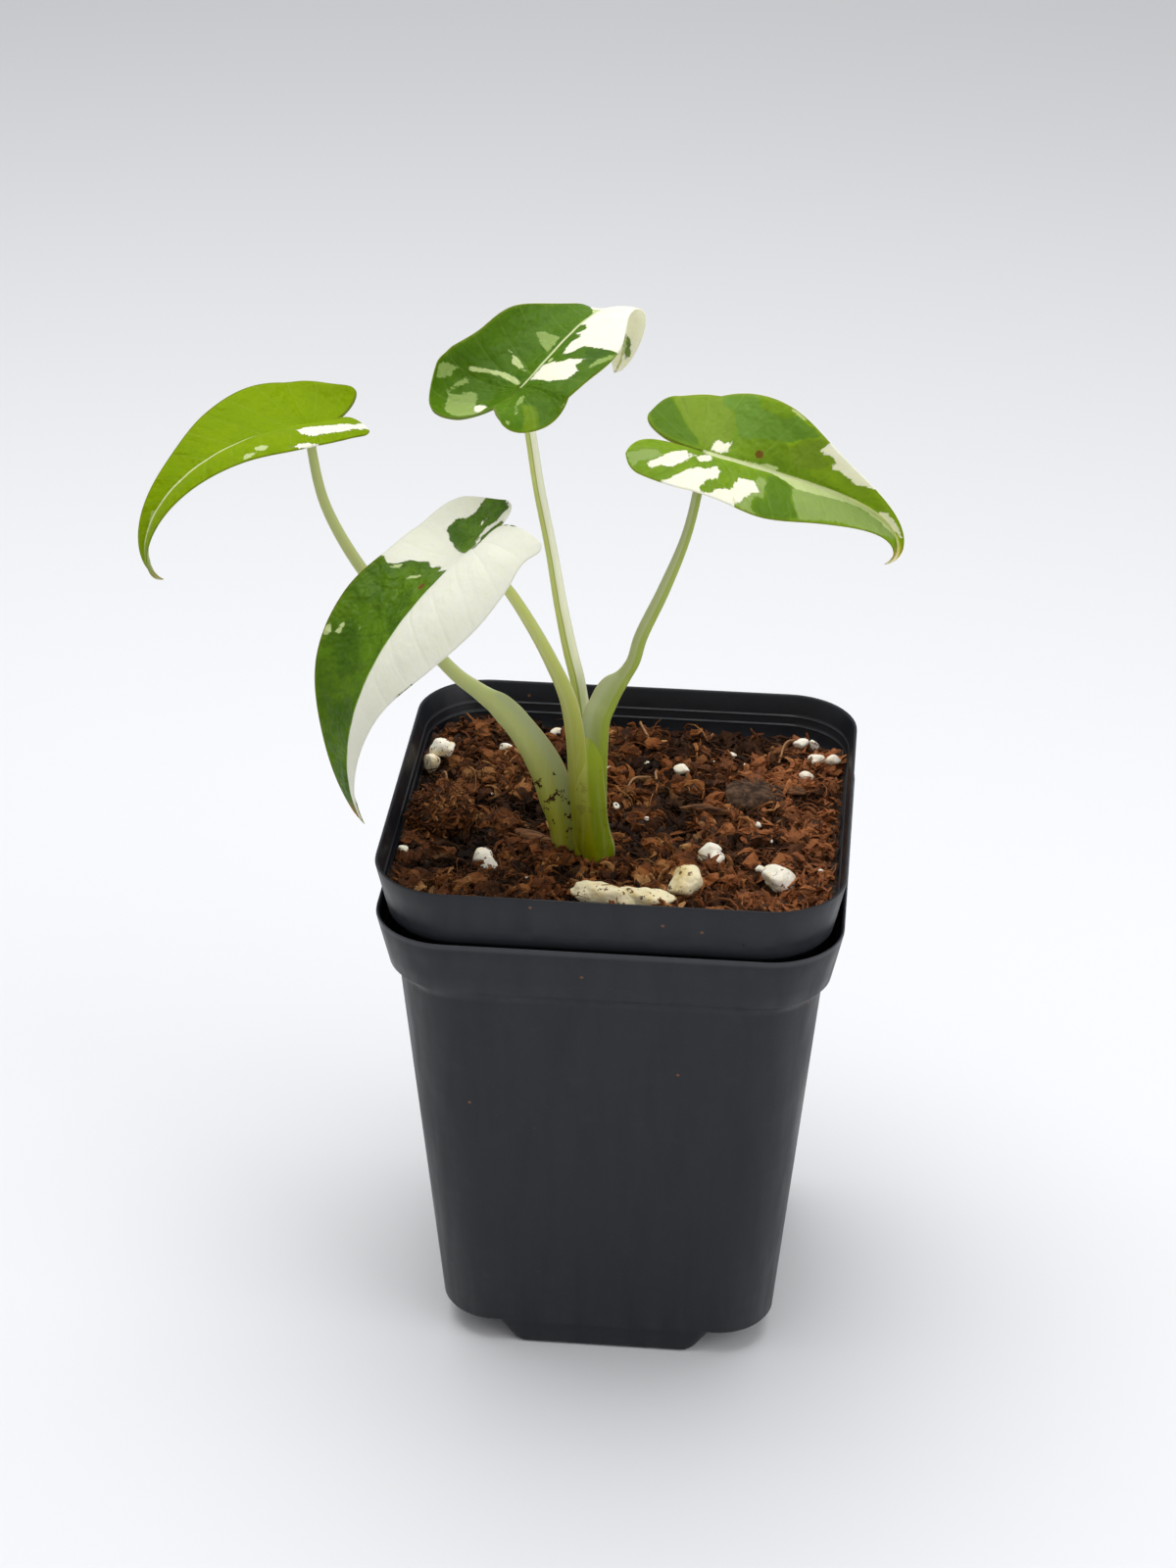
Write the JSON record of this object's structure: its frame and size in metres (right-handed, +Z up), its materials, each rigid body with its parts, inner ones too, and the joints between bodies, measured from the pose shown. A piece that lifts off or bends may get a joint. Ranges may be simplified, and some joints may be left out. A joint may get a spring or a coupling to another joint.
{
  "type": "potted alocasia",
  "caption": "Young variegated alocasia with heart-shaped leaves on sheathed petioles, in coir mix with pumice, in nested square nursery pots.",
  "frame": {"origin": "centre of the outer pot's base, on the surface it stands on", "axes": "+Z up, -Y towards the front of the pot, +X to the right when seen from the front"},
  "size_m": [0.1407, 0.0977, 0.2093],
  "materials": {
    "pot_plastic": "black injection-moulded polypropylene, satin, with scuffs and dust",
    "coir_mix": "damp reddish-brown coir and bark fibre, rough and crumbly",
    "corm_skin": "brown fibrous skin",
    "petiole_skin": "smooth pale green stalk with translucent whitish sheath edges",
    "leaf_blade": "satin leaf, green with cream, lime and grey-green variegation",
    "pumice": "cream-white pitted pumice with brown specks",
    "bark": "rough brown bark splinters"
  },
  "bodies": {
    "root": {"outer_pot": "pot_plastic", "inner_pot": "pot_plastic", "potting_mix": "coir_mix", "corm": "corm_skin", "petiole_left": "petiole_skin", "petiole_front": "petiole_skin", "petiole_top": "petiole_skin", "petiole_right": "petiole_skin", "blade_left": "leaf_blade", "blade_front": "leaf_blade", "blade_top": "leaf_blade", "blade_right": "leaf_blade", "stone_1": "pumice", "stone_2": "pumice", "stone_3": "pumice", "stone_4": "pumice", "stone_5": "pumice", "stone_6": "pumice", "stone_7": "pumice", "stone_8": "pumice", "bark_1": "bark", "bark_2": "bark", "bark_3": "bark"}
  },
  "joints": []
}
